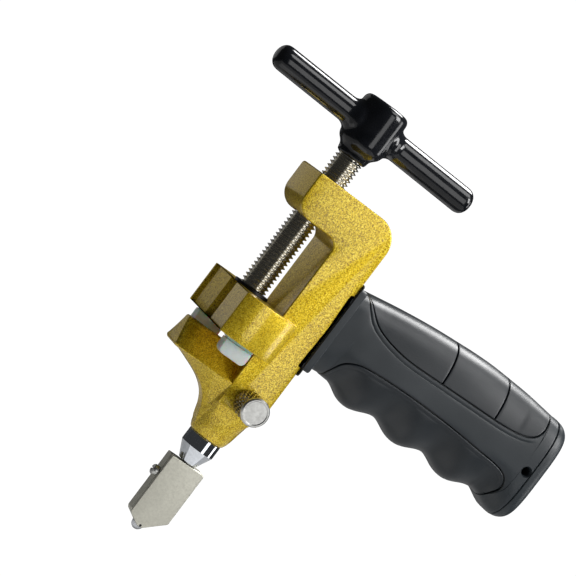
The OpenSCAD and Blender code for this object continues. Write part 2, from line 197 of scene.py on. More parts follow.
def slab(outline, low, high, radius, place, steps=4):
    """Points and faces of an extruded outline whose two rims are rounded.
    place(u, v, w) turns outline coordinates and height into a point."""
    rings = []
    angles = np.linspace(0, math.pi / 2, steps + 1)
    rims = [(low + radius * (1 - math.sin(math.pi / 2 - a)), radius * (1 - math.sin(a))) for a in angles]
    rims += [(high + low - w, d) for w, d in reversed(rims)]
    for w, d in rims:
        flat = inset(outline, d)
        rings.append(np.array([place(u, v, w) for u, v in flat]))
    return tube_of(rings)


def across(u, v, w):
    """Outline in X and Z, extruded along Y."""
    return (u, w, v)


def upward(u, v, w):
    """Outline in X and Y, extruded along Z."""
    return (u, v, w)


def backward(u, v, w):
    """Outline in Y and Z, extruded along X."""
    return (w, u, v)


def column_faces(columns, count):
    """Quads between columns of count points that stand in a closed round."""
    return [(j * count + i, j * count + i + 1, k * count + i + 1, k * count + i)
            for j in range(columns) for k in [(j + 1) % columns] for i in range(count - 1)]


def turned(profile, centre, along, steps=96):
    """Points and faces of a profile of (radius, height) turned about an axis through centre.
    along is 'x', 'y' or 'z'; a profile that ends at radius 0 closes to a point."""
    rings = []
    for angle in np.linspace(0, 2 * math.pi, steps, endpoint=False):
        ring = []
        for radius, height in profile:
            a, b = radius * math.cos(angle), radius * math.sin(angle)
            local = {"x": (height, a, b), "y": (a, height, b), "z": (a, b, height)}[along]
            ring.append(np.array(centre) + local)
        rings.append(np.array(ring))
    return np.vstack(rings), column_faces(steps, len(profile))


def rod(radius, low, high, centre, along, steps):
    """Points and faces of a plain cylinder."""
    return turned([(0, low), (radius, low), (radius, high), (0, high)], centre, along, steps)


def joined(parts):
    """Several point-and-face lists as one."""
    points, faces, shift = [], [], 0
    for p, f in parts:
        points.append(np.asarray(p, float))
        faces += [tuple(i + shift for i in face) for face in f]
        shift += len(p)
    return np.vstack(points), faces


def fused(piece, voxel, relax):
    """Melts overlapping closed shapes into one cast skin with softly rounded edges."""
    remesh = piece.modifiers.new("melt", "REMESH")
    remesh.mode = "VOXEL"
    remesh.voxel_size = voxel * MM
    smooth = piece.modifiers.new("relax", "SMOOTH")
    smooth.factor = 0.5
    smooth.iterations = relax
    settle(piece, 180)


def carve(piece, tools, keep_sharp=35, action="DIFFERENCE"):
    """Cuts closed tool shapes out of a piece, or adds them to it."""
    for number, (points, faces) in enumerate(tools):
        tool = make(f"tool_{number}", points, faces)
        cut = piece.modifiers.new("cut", "BOOLEAN")
        cut.operation = action
        cut.solver = "EXACT"
        cut.object = tool
        settle(piece, keep_sharp)
        bpy.data.objects.remove(tool)


def paint(piece, look):
    piece.data.materials.clear()
    piece.data.materials.append(looks[look])


def finish_piece(piece, body, slot, *nodes, look=None):
    """Paints a piece with its look, or else with its slot's material, parents it to its body and hides the
    CAD nodes that it stands for.
    """
    paint(piece, look or slot)
    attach(piece, body)
    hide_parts(*nodes)


# ------------ materials
def set_inputs(node, **sockets):
    for socket, value in sockets.items():
        node.inputs[socket.replace("_", " ")].default_value = value


def new_material(name, **sockets):
    material = bpy.data.materials.new(name)
    material.use_nodes = True
    shader = material.node_tree.nodes["Principled BSDF"]
    set_inputs(shader, **sockets)
    return material, shader


def add_noise(material, scale, detail=3.0, roughness=0.6):
    """Noise in the piece's own space; scale is in repeats per metre."""
    tree = material.node_tree
    where = tree.nodes.new("ShaderNodeTexCoord")
    noise = tree.nodes.new("ShaderNodeTexNoise")
    set_inputs(noise, Scale=scale, Detail=detail, Roughness=roughness)
    tree.links.new(where.outputs["Object"], noise.inputs["Vector"])
    return noise.outputs["Fac"]


def add_ramp(shader, value, stops, socket):
    """Colours or greys chosen by a value, led to one of the shader's sockets."""
    tree = shader.id_data
    ramp = tree.nodes.new("ShaderNodeValToRGB")
    elements = ramp.color_ramp.elements
    while len(elements) < len(stops):
        elements.new(0.5)
    for element, (position, colour) in zip(elements, stops):
        element.position = position
        element.color = (*colour, 1) if isinstance(colour, tuple) else (colour, colour, colour, 1)
    tree.links.new(value, ramp.inputs["Fac"])
    tree.links.new(ramp.outputs["Color"], shader.inputs[socket])


def add_bump(shader, heights, strength, distance):
    """Bumps from one or more height outputs, chained."""
    tree = shader.id_data
    last = None
    for height, share in heights:
        bump = tree.nodes.new("ShaderNodeBump")
        set_inputs(bump, Strength=strength * share, Distance=distance)
        tree.links.new(height, bump.inputs["Height"])
        if last:
            tree.links.new(last, bump.inputs["Normal"])
        last = bump.outputs["Normal"]
    tree.links.new(last, shader.inputs["Normal"])


CLOUD_SHARE = 0.3


def gold_paint():
    """Gold enamel full of fine flake under a clear coat."""
    material, shader = new_material("gold_enamel", Metallic=0.6, Coat_Weight=0.8, Coat_Roughness=0.13,
                                    Specular_Tint=(1.0, 0.86, 0.5, 1))
    flake = add_noise(material, 3100, detail=1.0, roughness=0.5)
    cloud = add_noise(material, 1150, detail=3.0, roughness=0.6)
    tree = material.node_tree
    mixed = tree.nodes.new("ShaderNodeMath")
    mixed.operation = "MULTIPLY_ADD"
    mixed.inputs[1].default_value = CLOUD_SHARE
    scaled = tree.nodes.new("ShaderNodeMath")
    scaled.operation = "MULTIPLY"
    scaled.inputs[1].default_value = 1 - CLOUD_SHARE
    tree.links.new(flake, scaled.inputs[0])
    tree.links.new(cloud, mixed.inputs[0])
    tree.links.new(scaled.outputs["Value"], mixed.inputs[2])
    grain = mixed.outputs["Value"]
    add_ramp(shader, grain, [(0.35, (0.28, 0.16, 0.004)), (0.45, (0.60, 0.39, 0.007)),
                               (0.53, (0.80, 0.56, 0.012)), (0.64, (1.0, 0.82, 0.09))],
             "Base Color")
    add_ramp(shader, grain, [(0.35, 0.48), (0.65, 0.32)], "Roughness")
    add_bump(shader, [(flake, 1.0), (cloud, 0.5)], 0.30, 0.00008)
    return material


def steel(name, dark, light, rough, scale=900, metallic=1.0, bump=0.12, vary=0.07):
    """Machined metal with a fine grain."""
    material, shader = new_material(name, Metallic=metallic)
    grain = add_noise(material, scale, detail=4.0)
    add_ramp(shader, grain, [(0.3, dark), (0.7, light)], "Base Color")
    add_ramp(shader, grain, [(0.3, rough + vary), (0.7, rough - vary)], "Roughness")
    add_bump(shader, [(grain, 1.0)], bump, 0.00005)
    return material


def black_vinyl():
    """Dipped vinyl: glossy, slightly wavy, with a hint of orange peel."""
    material, shader = new_material("black_vinyl", Coat_Weight=0.35, Coat_Roughness=0.06,
                                    Specular_IOR_Level=0.35)
    wave = add_noise(material, 160, detail=1.0)
    peel = add_noise(material, 900, detail=2.0)
    add_ramp(shader, wave, [(0.3, (0.004, 0.005, 0.007)), (0.7, (0.010, 0.011, 0.014))],
             "Base Color")
    add_ramp(shader, peel, [(0.3, 0.20), (0.7, 0.12)], "Roughness")
    add_bump(shader, [(wave, 1.0), (peel, 0.25)], 0.25, 0.0003)
    return material


def grip_plastic(name, dark, light, rough, texture):
    """Moulded plastic with a fine spark-eroded texture and slight handling shine."""
    material, shader = new_material(name, Specular_IOR_Level=0.5)
    texture_noise = add_noise(material, texture, detail=2.0, roughness=0.7)
    handling = add_noise(material, 45, detail=2.0)
    add_ramp(shader, handling, [(0.3, dark), (0.7, light)], "Base Color")
    add_ramp(shader, handling, [(0.3, rough + 0.05), (0.7, rough - 0.05)], "Roughness")
    add_bump(shader, [(texture_noise, 1.0)], 0.18, 0.0001)
    return material


def nylon():
    """Milky, slightly translucent nylon."""
    material, shader = new_material("milky_nylon", Subsurface_Weight=0.8, Subsurface_Scale=0.004, IOR=1.5)
    cloud = add_noise(material, 220, detail=2.0)
    add_ramp(shader, cloud, [(0.3, (0.58, 0.66, 0.64)), (0.7, (0.70, 0.77, 0.75))],
             "Base Color")
    add_ramp(shader, cloud, [(0.3, 0.32), (0.7, 0.22)], "Roughness")
    add_bump(shader, [(cloud, 1.0)], 0.1, 0.0002)
    return material


looks = {
    "gold_paint": gold_paint(),
    "pad_nylon": nylon(),
    "dark_steel": steel("black_steel", (0.02, 0.02, 0.022), (0.07, 0.07, 0.08), 0.36),
    "screw_steel": steel("thread_steel", (0.60, 0.57, 0.49), (0.76, 0.73, 0.65), 0.22,
                         scale=700, bump=0.03, vary=0.03),
    "black_vinyl": black_vinyl(),
    "brass_plug": steel("plug_brass", (0.60, 0.40, 0.14), (0.85, 0.64, 0.30), 0.30),
    "nickel_steel": steel("turned_nickel", (0.46, 0.46, 0.44), (0.58, 0.58, 0.56), 0.32,
                          bump=0.05, vary=0.03),
    # Steel of the knurled band: the screw's own nickel steel painted darker and browner, as painted shade of
    # the knurl's grooves.
    "knurl_shaded_steel": steel("knurled_steel_painted_shade", (0.16, 0.14, 0.09), (0.34, 0.30, 0.20), 0.26),
    "collar_chrome": steel("polished_chrome", (0.66, 0.69, 0.73), (0.76, 0.79, 0.83), 0.07,
                           bump=0.02, vary=0.02),
    "head_nickel": steel("satin_nickel", (0.52, 0.51, 0.44), (0.60, 0.59, 0.51), 0.44, scale=1500,
                         metallic=0.85, bump=0.1),
    "wheel_carbide": steel("ground_carbide", (0.30, 0.31, 0.32), (0.52, 0.53, 0.55), 0.26),
    "grip_plastic": grip_plastic("grip_shell", (0.018, 0.024, 0.029), (0.026, 0.033, 0.039), 0.40, 2600),
    "grip_insert": grip_plastic("grip_insert", (0.010, 0.014, 0.018), (0.016, 0.021, 0.026), 0.38, 2200),
}


# ------------ C-frame casting
ARM_HEIGHT = 15.2
ARM_FRONT = screw_x - 8.95
THROAT_TOP = arm_top - ARM_HEIGHT
STEM_BASE = 52.0
BACK_CORNER = 9.1
FRONT_CORNER = 6.5
THROAT_FILLET = 4.0
ANVIL_TOP = 69.3
ANVIL_TOP_HALF = 2.0
RIDGE_Z = 59.5
RIDGE_FRONT = 6.8
ANVIL_RIM = 0.8
SHANK_R = 3.05
BEAD_R = 0.4
NOSE_LEVELS = [(frame_low[2], 6.25, 0), (frame_low[2] + 0.15, 6.5, 0), (frame_low[2] + 0.5, 6.72, 0),
               (40.9, 7.3, 0), (42.6, 7.75, 0), (44.6, 8.15, 0), (46.6, 8.5, 0.02), (48.4, 8.85, 0.12),
               (50.2, 9.2, 0.32), (52.0, 9.6, 0.58), (53.6, 10.0, 0.82), (55.2, 10.3, 0.97), (57.0, 10.5, 1)]
RIDGE_BACK = -9.0
FLANGE_X = 11.4
NOTCHES = [(77.5, 79.6), (104.0, 106.2)]    # heights of the stem's notches for the grip's ribs
SCREW_BORE_R = 5.15
SOCKET_DEPTH = 27
THUMB_Z = 57.1
TAP_R = 2.6


def notch(low, high):
    """Corners of a notch across the stem's back, which takes a rib of the grip."""
    deep = stem_half - 1.05
    return [(stem_half, low, 0.2), (deep, low, 0.2), (deep, high, 0.2), (stem_half, high, 0.2)]


def frame_profile():
    """Stem and arm in X and Z."""
    return rounded([
        (-stem_half, STEM_BASE, 0), (stem_half, STEM_BASE, 0),
        *[corner for low, high in NOTCHES for corner in notch(low, high)],
        (stem_half, arm_top, BACK_CORNER), (ARM_FRONT, arm_top, 1.0),
        (ARM_FRONT, THROAT_TOP, FRONT_CORNER), (-stem_half, THROAT_TOP, THROAT_FILLET)], 14)


def ridge_half(x):
    """Half width of the anvil along its ridge."""
    return np.interp(x, [frame_low[0], RIDGE_BACK], [RIDGE_FRONT, frame_half - 0.05])


def anvil_rings():
    """Sections of the anvil from its front face into the stem: a roof with hollow sides down to
    the ridge, flat flanks under it and a narrow keel that sweeps down to the nose."""
    front = frame_low[0]
    keel = soft_line([(front, 58.9), (-27, 58.3), (-22, 56.6), (-15.8, 54.0), (-11.6, 50.8),
                      (-9.2, 47.0), (-7.9, 43.0), (-6.5, 40.5)])
    turn = np.linspace(0, math.pi / 2, 6)
    stations = list(front + ANVIL_RIM * (1 - np.cos(turn)))
    insets = list(ANVIL_RIM * (1 - np.sin(turn)))
    stations += list(np.linspace(front + ANVIL_RIM, RIDGE_BACK, 30))[1:] + [-8.4, -7.8, -7.2, -6.0]
    insets += [0.0] * (len(stations) - len(insets))
    rings = []
    for x, shrink in zip(stations, insets):
        low = np.interp(x, keel[:, 0], keel[:, 1])
        wide = ridge_half(x)
        keel_half = np.interp(x, [front, -27, -20, -10], [wide - 1.4, 4.2, 2.6, 2.4])
        half = [(ANVIL_TOP_HALF, ANVIL_TOP, 0.8)]
        half += [(ANVIL_TOP_HALF + (wide - ANVIL_TOP_HALF) * t ** 1.25,
                  ANVIL_TOP - (ANVIL_TOP - RIDGE_Z) * t, 0) for t in np.linspace(0.1, 0.92, 10)]
        edge = min(1.1, 0.4 + 0.12 * (RIDGE_Z - low))
        half += [(wide, RIDGE_Z, 0.5), (keel_half, low, edge)]
        corners = [(-y, z, r) for y, z, r in half] + [(y, z, r) for y, z, r in reversed(half)]
        section = inset(rounded(corners, 4), shrink)
        rings.append(np.array([(x, y, z) for y, z in section]))
    return rings


def nose_reach(z, angle):
    """Distance of the nose's skin from its axis, at a height and an angle."""
    heights, radii, squares = zip(*NOSE_LEVELS)
    radius, square = np.interp(z, heights, radii), np.interp(z, heights, squares)
    c, s = math.cos(angle), math.sin(angle)
    reach = min((stem_half - 0.02) / max(abs(c), 1e-6), (frame_half - 0.02) / max(abs(s), 1e-6))
    return radius * (1 - square) + reach * square


def nose_rings():
    """Rings from the stem's rectangle down to the round nose."""
    rings = []
    for z, _, _ in NOSE_LEVELS:
        ring = []
        for angle in np.linspace(0, 2 * math.pi, 96, endpoint=False):
            r = nose_reach(z, angle)
            ring.append((r * math.cos(angle), r * math.sin(angle), z))
        rings.append(np.array(ring))
    return rings


def bead(path, radius, side):
    """A fine raised line along a path, on the near side (1) or the far side (-1)."""
    path = np.array(path) * (1, side, 1)
    ahead = np.gradient(path, axis=0)
    rings = []
    for k, point in enumerate(path):
        along = ahead[k] / np.linalg.norm(ahead[k])
        first = np.cross(along, (0, 1, 0.2))
        first /= np.linalg.norm(first)
        second = np.cross(along, first)
        r = radius if 0 < k < len(path) - 1 else radius * 0.4
        rings.append(np.array([point + r * (first * math.cos(a) + second * math.sin(a))
                               for a in np.linspace(0, 2 * math.pi, 12, endpoint=False)]))
    return tube_of(rings)


def crease_paths():
    """Lines along the anvil's ridge, down the front of the nose and down the stem's corner."""
    ridge = [(x, -ridge_half(x), RIDGE_Z) for x in np.linspace(frame_low[0] + 1.0, RIDGE_BACK, 12)]
    crease = []
    for share in np.linspace(0, 1, 12):
        z = RIDGE_Z - 0.1 - 11.8 * share
        angle = math.radians(229.0 - 22.0 * share)
        r = nose_reach(z, angle) - 0.05
        crease.append((r * math.cos(angle), r * math.sin(angle), z))
    corner = [(0.25 - stem_half, 0.25 - frame_half, z) for z in np.linspace(RIDGE_Z, 66.0, 6)]
    return [ridge, crease, corner]


def build_frame():
    casting = make("frame_casting", *slab(frame_profile(), -frame_half, frame_half, 0.5, across))
    carve(casting, [tube_of(anvil_rings()), tube_of(nose_rings())], 40, "UNION")
    for path in crease_paths():
        carve(casting, [bead(path, BEAD_R, side) for side in (1, -1)], 40, "UNION")
    bore = rod(SCREW_BORE_R, -2, ARM_HEIGHT + 2, (screw_x, 0, THROAT_TOP), "z", 64)
    socket = rod(SHANK_R, -1, SOCKET_DEPTH, (0, 0, frame_low[2]), "z", 48)
    tap = rod(TAP_R, -4, 7.6, (0, -frame_half, THUMB_Z), "y", 32)
    carve(casting, [bore, socket, tap], 50)
    finish_piece(casting, "frame", "gold_paint", "c_frame")


build_frame()


# ------------ moving jaw and pads
JAW_R = 21.8
RECESS_HALF = 3.15
LIP_DEPTH = 1.2
RECESS_DEPTH = 3.1
PAD_STEP = 0.5                              # how far a pad's neck stands in from its sides


def jaw_outline():
    front, back = jaw_low[0], jaw_high[0]
    start = -math.degrees(math.acos((front - screw_x) / JAW_R))
    end = -math.degrees(math.acos((back - screw_x) / JAW_R))
    near = arc((screw_x, 0), JAW_R, start, end, 40)
    slot_x = -stem_half - 0.3
    slot_y = frame_half + 0.2
    half = [tuple(p) + (0,) for p in near[1:-1]]
    corners = [(*near[0], 0.4)] + half + [(*near[-1], 0.4), (back, -slot_y, 0.5), (slot_x, -slot_y, 0.6)]
    corners += [(x, -y, r) for x, y, r in reversed(corners)]
    lip, deep = front + LIP_DEPTH, front + RECESS_DEPTH
    wide, narrow = RECESS_HALF + 0.25, RECESS_HALF - 0.25
    corners += [(front, 19, 0.3), (lip, 18.9, 0.3), (lip, wide, 0.3), (deep, narrow, 0.3),
                (deep, -narrow, 0.3), (lip, -wide, 0.3), (lip, -18.9, 0.3), (front, -19, 0.3)]
    return rounded(corners, 4)


def build_jaw():
    jaw = make("jaw_block", *slab(jaw_outline(), jaw_low[2], jaw_high[2], 0.3, upward), sharp=40)
    height = jaw_high[2] - jaw_low[2]
    bore = turned([(0, -1), (3.75, -1), (3.75, 2.97), (2.55, 2.97), (2.55, height + 1), (0, height + 1)],
                  (screw_x, 0, jaw_low[2]), "z", 64)
    carve(jaw, [bore], 40)
    finish_piece(jaw, "jaw", "gold_paint", "moving_jaw")


def build_pad(name, node):
    low, high = span(node)
    top = jaw_low[2] - 0.05
    foot = rounded([(low[0], low[2], 1.9), (high[0], low[2], 1.9), (high[0], top - 0.85, 0.3),
                    (low[0], top - 0.85, 0.3)], 8)
    neck = rectangle(low[0] + PAD_STEP, high[0] - PAD_STEP, top - 1.1, top - 0.3, 0.1, 2)
    plate = rectangle(low[0], high[0], top - 0.6, top, 0.2, 3)
    pad = make(name, *joined([slab(foot, low[1], high[1], 0.28, across),
                              slab(neck, low[1] + PAD_STEP, high[1] - PAD_STEP, 0.05, across),
                              slab(plate, low[1], high[1], 0.15, across)]), sharp=40)
    finish_piece(pad, "jaw", "pad_nylon", node)


build_jaw()
build_pad("pad_near", "near_pad")
build_pad("pad_far", "far_pad")


# ------------ clamp screw
SCREW_R = 5.0
PITCH = 1.5
THREAD_DEPTH = 0.92
JOURNAL_R = 2.5
CLIP_GROOVE_R = 1.95
TURN_STEPS = 48


def thread(name, centre, low, high, radius, pitch, depth):
    """A true single-start thread: its rows follow the helix, and both ends are cut flat."""
    rows_per_turn = [(0.0, 0.0), (0.125, 0.0), (0.4375, depth), (0.6875, depth)]
    shift = len(rows_per_turn)
    turns = int(math.ceil((high - low) / pitch)) + 5
    rows = [(k + share, radius - drop) for k in range(turns) for share, drop in rows_per_turn]
    count = len(rows)
    points, faces = [], []
    for j in range(TURN_STEPS):
        angle = 2 * math.pi * j / TURN_STEPS
        for turn, r in rows:
            points.append((centre[0] + r * math.cos(angle), centre[1] + r * math.sin(angle),
                           low + pitch * (turn - 2.5 + j / TURN_STEPS)))
    for j in range(TURN_STEPS):
        k, jump = (j + 1, 0) if j < TURN_STEPS - 1 else (0, shift)
        for i in range(count - 1 - jump):
            faces.append((j * count + i, j * count + i + 1, k * count + i + 1 + jump, k * count + i + jump))
    piece = make(name, points, faces, 25)
    trim(piece, low, high)
    return piece


def trim(piece, low, high):
    """Cuts a piece flat at two heights and caps it."""
    bm = bmesh.new()
    bm.from_mesh(piece.data)
    for height, side in ((low, -1), (high, 1)):
        everything = bm.verts[:] + bm.edges[:] + bm.faces[:]
        cut = bmesh.ops.bisect_plane(bm, geom=everything, plane_co=(0, 0, height * MM),
                                     plane_no=(0, 0, side), clear_outer=True)
        rim = [e for e in cut["geom_cut"] if isinstance(e, bmesh.types.BMEdge)]
        bmesh.ops.edgeloop_fill(bm, edges=rim)
    bmesh.ops.recalc_face_normals(bm, faces=bm.faces)
    bm.to_mesh(piece.data)
    bm.free()
    shade(piece, 25)


def build_spindle():
    start = span("thrust_washer")[1][2] + 0.05
    neck = coat_low[2] + 0.4
    screw = thread("clamp_thread", (screw_x, 0), start, neck, SCREW_R, PITCH, THREAD_DEPTH)
    finish_piece(screw, "screw", "screw_steel", "spindle")
    low = span("spindle")[0][2]
    groove = jaw_low[2] + 2
    journal = make("spindle_journal", *turned(
        [(0, low), (2.2, low), (JOURNAL_R, low + 0.3), (JOURNAL_R, groove), (CLIP_GROOVE_R, groove),
         (CLIP_GROOVE_R, groove + 1), (JOURNAL_R, groove + 1), (JOURNAL_R, start + 0.2), (0, start + 0.2)],
        (screw_x, 0, 0), "z", 64))
    finish_piece(journal, "screw", "screw_steel", "spindle")


# ------------ dipped T-handle
HUB_R = 8.7
HUB_LOW = 145.8
HUB_EDGE = 2.4
BAR_EDGE = 3.8
END_POWER = 2.4                             # 2 gives an elliptical bar end, more a squarer one
BAR_TILT = math.radians(-0.95)


def build_handle():
    low, high = coat_low, coat_high
    top = high[2]
    quarter = np.linspace(0, math.pi / 2, 9)
    hub = [(0, top)]
    hub += [(HUB_R - HUB_EDGE * (1 - math.sin(a)), top - HUB_EDGE * (1 - math.cos(a))) for a in quarter]
    hub += [(HUB_R, HUB_LOW + 3.6), (HUB_R - 0.3, HUB_LOW + 2.2), (HUB_R - 1.0, HUB_LOW + 1.0),
            (HUB_R - 2.0, HUB_LOW + 0.1), (HUB_R - 2.7, HUB_LOW - 0.7), (SCREW_R + 0.8, HUB_LOW - 1.6),
            (SCREW_R + 0.7, low[2] + 0.8), (SCREW_R + 0.3, low[2] + 0.1), (SCREW_R - 0.3, low[2] + 0.1),
            (0, low[2] + 0.1)]
    bar_z = centre_of("cross_bar")[2] - 0.1
    middle = (low[0] + high[0]) / 2
    half = (high[0] - low[0]) / 2
    bar = []
    for share in np.sin(np.linspace(-math.pi / 2, math.pi / 2, 161)):
        x = share * half
        r = 4.68 + 0.12 * share
        from_end = half - abs(x)
        if from_end < BAR_EDGE:
            r *= (1 - (1 - from_end / BAR_EDGE) ** END_POWER) ** (1 / END_POWER)
        from_hub = abs(x + middle - screw_x)
        r += 1.5 * (1 - smooth_step(7.5, 12.0, from_hub)) ** 1.5
        bar.append((r if abs(share) < 1 else 0.0, x))
    bar_points, bar_faces = turned(bar, (0, 0, 0), "x", 64)
    c, k = math.cos(BAR_TILT), math.sin(BAR_TILT)
    tilted = np.stack([bar_points[:, 0] * c, bar_points[:, 1], bar_points[:, 2] + bar_points[:, 0] * k], 1)
    tilted += (middle, 0, bar_z)
    drip = turned([(0, top + 0.35), (1.2, top + 0.3), (2.2, top), (2.9, top - 1.0), (0, top - 1.0)],
                  (screw_x + 2.2, -0.5, 0), "z", 32)
    hub = turned(hub, (screw_x, 0, 0), "z", 72)
    handle = make("dipped_handle", *joined([hub, (tilted, bar_faces), drip]))
    fused(handle, 0.45, 10)
    finish_piece(handle, "screw", "black_vinyl", "handle_coat", "cross_bar")


build_spindle()
build_handle()


# ------------ thumb screw
def build_knob():
    low, high = span("thumb_screw")
    radius = high[0]
    middle = centre_of("thumb_screw")[2]
    face = low[1]
    shoulder = -frame_half - 0.5
    rim = 1.5
    starts = 16
    around, rows = starts * 12, 60
    knurl_from, knurl_to = face + rim + 0.7, shoulder - 0.5
    profile = [(0, face + 0.25), (radius - 1.2, face + 0.25), (radius - 0.9, face), (radius - 0.55, face),
               (radius - 0.1, face + 0.5), (radius - 0.1, face + rim), (radius - 1.3, face + rim + 0.1),
               (0, face + rim + 0.1)]
    cap = make("knob_cap", *turned(profile, (0, 0, middle), "y", 96), 28)
    finish_piece(cap, "thumb_screw", "nickel_steel", "thumb_screw")
    start = [(0, face + rim - 0.3), (radius - 1.4, face + rim - 0.3), (radius - 1.4, face + rim + 0.5),
             (radius - 0.9, face + rim + 0.6)]
    heights = np.linspace(knurl_from, knurl_to, rows)
    ends = [(radius - 0.5, shoulder), (2.6, shoulder), (2.45, shoulder + 0.3), (2.45, -6.2), (0, -6.2)]
    points = []
    for j in range(around):
        angle = 2 * math.pi * j / around
        column = list(start)
        for y in heights:
            twist = (y - face) / radius * 0.62
            ridge = min(abs(((starts * (angle + way) / (2 * math.pi)) % 1) - 0.5) * 2
                        for way in (twist, -twist))
            column.append((radius - 0.85 + 0.8 * ridge ** 0.8, y))
        column += ends
        for r, y in column:
            points.append((r * math.cos(angle), y, middle + r * math.sin(angle)))
    faces = column_faces(around, len(start) + rows + len(ends))
    knob = make("knurled_screw", points, faces, 28)
    # The knurled band gets the darker steel, whose colour is painted shade of the knurl's grooves; the end
    # cap keeps the plain nickel.
    finish_piece(knob, "thumb_screw", "nickel_steel", "thumb_screw", look="knurl_shaded_steel")


build_knob()


# ------------ cutting head
CONE_TOP = 34.35


def build_collar():
    low, high = span("collar")
    r = high[0]
    profile = [(SHANK_R, low[2]), (3.3, low[2]), (3.5, low[2] + 0.15), (r - 0.08, CONE_TOP - 0.2),
               (r, CONE_TOP), (r, high[2] - 0.08), (r - 0.08, high[2]), (SHANK_R, high[2])]
    collar = make("tapered_collar", *turned(profile + profile[:1], (0, 0, 0), "z", 96), 12)
    finish_piece(collar, "shank", "collar_chrome", "collar")


def head_outline(tip_drop, tip_half, shoulder):
    """Side outline of the head's plate or block, down to its tip around the axle."""
    low, high = span("head_block")
    ax, _, az = centre_of("wheel_axle")
    left, right, top = low[0], high[0], high[2]
    return rounded([(left, top, 0.4), (right, top, 1.0), (right, 7.7, 0.7),
                    (ax + tip_half, az - tip_drop, 1.0), (ax - tip_half, az - tip_drop, 1.0),
                    (left + 0.5, shoulder, 0.5), (left, shoulder + 0.9, 0.5)], 6)


def build_head():
    low, high = span("head_block")
    wheel_low, wheel_high = span("cutting_wheel")
    wheel_x, _, wheel_z = centre_of("cutting_wheel")
    hub = (wheel_x, 0, wheel_z)
    radius = (wheel_high[2] - wheel_low[2]) / 2
    half = (wheel_high[1] - wheel_low[1]) / 2
    block = make("head_body", *slab(head_outline(0.5, 0.8, 4.6), low[1] + 0.3, high[1], 0.35, across), 40)
    carve(block, [rod(radius + 0.5, -half - 0.2, half + 0.2, hub, "y", 48)], 40)
    finish_piece(block, "head", "head_nickel", "head_block")

    plate_low, plate_high = span("head_plate")
    plate = slab(head_outline(0.6, 1.0, 4.2), plate_low[1], plate_high[1], 0.33, across)
    plate = make("head_cover", *plate, 40)
    finish_piece(plate, "head", "head_nickel", "head_plate")

    axle_low, axle_high = span("wheel_axle")
    pin_r = (axle_high[0] - axle_low[0]) / 2
    pin = make("axle_pin", *turned(
        [(0, plate_low[1] - 0.02), (pin_r - 0.15, plate_low[1] - 0.02), (pin_r, plate_low[1] + 0.12),
         (pin_r, high[1] - 0.12), (pin_r - 0.15, high[1]), (0, high[1])], hub, "y", 32))
    finish_piece(pin, "head", "dark_steel", "wheel_axle")

    wheel = make("carbide_wheel", *turned(
        [(0.7, -half), (radius - 0.75, -half), (radius - 0.55, -half + 0.1), (radius, -0.04), (radius, 0.04),
         (radius - 0.55, half - 0.1), (radius - 0.75, half), (0.7, half), (0.7, -half)], hub, "y", 72), 20)
    finish_piece(wheel, "wheel", "wheel_carbide", "cutting_wheel")


def build_head_screw():
    low, high = span("head_screw")
    r = (high[2] - low[2]) / 2
    middle = centre_of("head_screw")[2]
    screw = make("slotted_screw", *turned(
        [(0, low[0]), (r - 0.55, low[0]), (r - 0.25, low[0] + 0.12), (r, low[0] + 0.5), (r, low[0] + 1.9),
         (1.15, low[0] + 1.9), (1.15, high[0]), (0, high[0])], (0, 0, middle), "x", 48))
    groove = rectangle(low[0] - 1, low[0] + 0.75, -0.28, 0.28, 0) + (0, middle)
    carve(screw, [slab(groove, -3, 3, 0.01, across, 1)], 35)
    finish_piece(screw, "head", "nickel_steel", "head_screw")


build_collar()
build_head()
build_head_screw()


# ------------ grip surface
GROOVE_PITCH = 22.5
GROOVE_AT = 44.3
GROOVE_DEPTH = 3.2
SEAM_GAP = 0.19
LIP = 0.32
SHELL = 1.5
OVERLAP = 0.004
CAP_X = cap_low[0] + 0.6
CAP_GAP = 0.06
GRIP_END = cap_high[0]
PAD_SPLITS = (52.3, 76.0)

top_line = soft_line([(10.5, 109.6), (13, 109.8), (16, 110.3), (20, 111.0), (27, 112.15), (36, 113.4),
                      (45, 114.4), (54, 115.1), (62, 115.65), (70, 115.85), (78, 115.6), (86, 115.25),
                      (93, 114.6), (99, 114.0), (GRIP_END, 113.6)])
low_line = soft_line([(10.5, 77.7), (12, 78.2), (14, 78.4), (17, 77.5), (19, 76.0), (21, 75.1), (24, 75.0),
                      (27, 74.8), (30, 74.55), (36, 74.5), (44, 74.2), (60, 74.1), (78, 74.1), (90, 74.0),
                      (101, 73.75), (GRIP_END, 73.8)])
width_line = soft_line([(10.5, 10.8), (15, 11.1), (22, 11.6), (32, 12.1), (44, 12.6), (58, 12.95),
                        (70, 13.0), (94, 12.95), (GRIP_END, 12.8)])
power_line = soft_line([(10.5, 3.2), (15, 3.1), (22, 2.6), (32, 2.5), (80, 2.5), (88, 2.7), (98, 3.3),
                        (GRIP_END, 3.4)])
thumb_seam = soft_line([(12.7, 112.3), (13.6, 110.9), (15.1, 109.4), (16.7, 107.8), (18.3, 106.2),
                        (20.0, 104.7), (22.3, 103.3), (25.3, 102.2), (29.6, 101.2), (35, 100.45),
                        (41, 100.25), (51.8, 100.6), (64, 101.0), (78.6, 101.5), (86.1, 102.3),
                        (90.5, 103.5), (93.2, 105.3), (94.7, 108.0), (95.3, 111.0), (95.6, 113.2),
                        (95.8, 115.4)])
finger_seam = soft_line([(17.0, 73.2), (17.3, 77.0), (17.7, 79.6), (18.5, 82.6), (19.7, 85.5), (21.5, 87.6),
                         (24.2, 89.1), (28, 90.0), (36.9, 90.7), (50.9, 91.0), (60, 90.85), (67.5, 90.5),
                         (78, 89.9), (85, 89.4), (89.8, 88.5), (92.6, 87.0), (94.1, 84.8), (94.9, 82.0),
                         (95.5, 78.0), (95.9, 73.3)])


